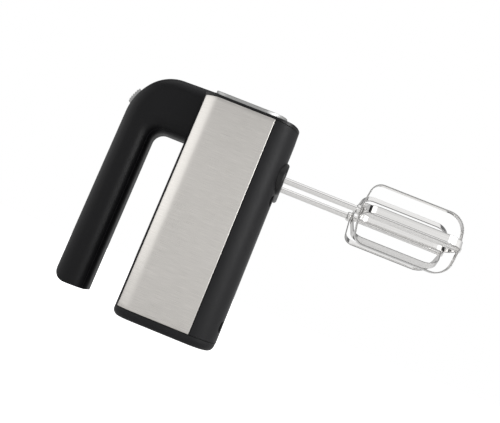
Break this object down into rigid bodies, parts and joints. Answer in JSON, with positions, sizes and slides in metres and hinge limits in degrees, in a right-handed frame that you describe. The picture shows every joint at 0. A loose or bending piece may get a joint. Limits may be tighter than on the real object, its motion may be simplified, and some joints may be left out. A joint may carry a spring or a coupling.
{
  "type": "hand mixer",
  "caption": "Electric hand mixer: steel-sided body, open C-shaped handle with thumb speed selector, and twin flat-strip beaters driven by a worm gearbox.",
  "frame": {"origin": "centre of the flat heel face that the body stands on", "axes": "+Z along the body from heel to front, +X along the beaters, -X is the handle side"},
  "size_m": [0.2854, 0.089, 0.1907],
  "materials": {
    "handle_black": "near-black satin moulding",
    "shell_charcoal": "charcoal fine-texture moulding",
    "bezel_black": "black semi-gloss moulding",
    "panel_steel": "fine brushed stainless sheet",
    "front_steel": "satin stainless sheet",
    "selector_silver": "satin silver",
    "collar_black": "black moulding",
    "beater_chrome": "bright chromed steel",
    "lamination": "varnished lamination steel",
    "winding": "enamelled copper wire",
    "bearing_bronze": "sintered bronze",
    "commutator_copper": "copper segments",
    "carbon": "pressed carbon",
    "brush_brass": "stamped brass",
    "gear_nylon": "natural nylon",
    "inner_plastic": "grey engineering plastic",
    "shaft_steel": "ground steel",
    "screw_zinc": "zinc-plated steel",
    "board_green": "glass-epoxy board",
    "gland_black": "black rubber"
  },
  "bodies": {
    "casing": {"handle_shell": "handle_black", "handle_cover": "handle_black", "front_bezel": "bezel_black", "front_plate": "front_steel", "upper_shell": "handle_black", "lower_shell": "shell_charcoal", "collar": "collar_black", "side_panel_near": "panel_steel", "side_panel_far": "panel_steel", "heel_cap": "shell_charcoal", "cord_gland": "gland_black", "field_stack": "lamination", "field_coils": "winding", "carbon_brushes": "carbon", "brush_holders": "brush_brass", "end_bracket": "inner_plastic", "motor_mount": "inner_plastic", "rear_bush": "bearing_bronze", "motor_bolts": "screw_zinc", "gear_case": "inner_plastic", "gear_case_lid": "inner_plastic", "spindle_bushes_front": "bearing_bronze", "spindle_bushes_rear": "bearing_bronze", "shaft_bushes": "bearing_bronze", "gear_case_screws": "screw_zinc", "case_screws": "screw_zinc", "speed_switch": "inner_plastic", "control_board": "board_green", "suppressor_capacitor": "inner_plastic"},
    "armature": {"rotor_core": "lamination", "rotor_windings": "winding", "commutator": "commutator_copper", "cooling_fan": "inner_plastic", "worm_shaft": "shaft_steel"},
    "spindle_a": {"worm_wheel_a": "gear_nylon", "spindle_a": "shaft_steel"},
    "spindle_b": {"worm_wheel_b": "gear_nylon", "spindle_b": "shaft_steel"},
    "pusher_a": {"pusher_pin_a": "shaft_steel"},
    "pusher_b": {"pusher_pin_b": "shaft_steel"},
    "beater_a": {"beater_a_shaft": "beater_chrome", "beater_a_loop_1": "beater_chrome", "beater_a_loop_2": "beater_chrome"},
    "beater_b": {"beater_b_shaft": "beater_chrome", "beater_b_loop_1": "beater_chrome", "beater_b_loop_2": "beater_chrome"},
    "ejector": {"ejector_plate": "inner_plastic", "ejector_rod": "inner_plastic", "eject_spring": "shaft_steel"},
    "eject_button": {"eject_button": "bezel_black"},
    "selector": {"speed_selector": "selector_silver", "selector_carriage": "inner_plastic"}
  },
  "joints": [
    {"name": "motor_spin", "type": "hinge", "parent": "casing", "child": "armature", "pos_m": [-0.003, 0, 0.06], "axis": [0, 0, 1], "continuous": true},
    {"name": "spindle_a_spin", "type": "hinge", "parent": "casing", "child": "spindle_a", "pos_m": [0, -0.022, 0.1415], "axis": [1, 0, 0], "continuous": true},
    {"name": "spindle_b_spin", "type": "hinge", "parent": "casing", "child": "spindle_b", "pos_m": [0, 0.022, 0.1415], "axis": [1, 0, 0], "continuous": true},
    {"name": "eject", "type": "slide", "parent": "casing", "child": "ejector", "axis": [1, 0, 0], "range_m": [0, 0.005], "stiffness_N_per_m": 250, "springref_m": -0.004, "deforming": ["eject_spring"]},
    {"name": "eject_button_press", "type": "slide", "parent": "casing", "child": "eject_button", "axis": [0, 0, -1], "range_m": [0, 0.005]},
    {"name": "pusher_a_slide", "type": "slide", "parent": "spindle_a", "child": "pusher_a", "axis": [1, 0, 0], "range_m": [0, 0.005]},
    {"name": "pusher_b_slide", "type": "slide", "parent": "spindle_b", "child": "pusher_b", "axis": [1, 0, 0], "range_m": [0, 0.005]},
    {"name": "beater_a_pull", "type": "slide", "parent": "pusher_a", "child": "beater_a", "axis": [1, 0, 0], "range_m": [0, 0.06]},
    {"name": "beater_b_pull", "type": "slide", "parent": "pusher_b", "child": "beater_b", "axis": [1, 0, 0], "range_m": [0, 0.06]},
    {"name": "speed_select", "type": "hinge", "parent": "casing", "child": "selector", "pos_m": [-0.052, 0, 0.1492], "axis": [0, 1, 0], "range_deg": [0, 16]}
  ],
  "couplings": [
    {"joint": "spindle_a_spin", "follows": "motor_spin", "ratio": -0.066667},
    {"joint": "spindle_b_spin", "follows": "motor_spin", "ratio": 0.066667},
    {"joint": "eject_button_press", "follows": "eject", "ratio": 1},
    {"joint": "pusher_a_slide", "follows": "eject", "ratio": 1},
    {"joint": "pusher_b_slide", "follows": "eject", "ratio": 1}
  ]
}
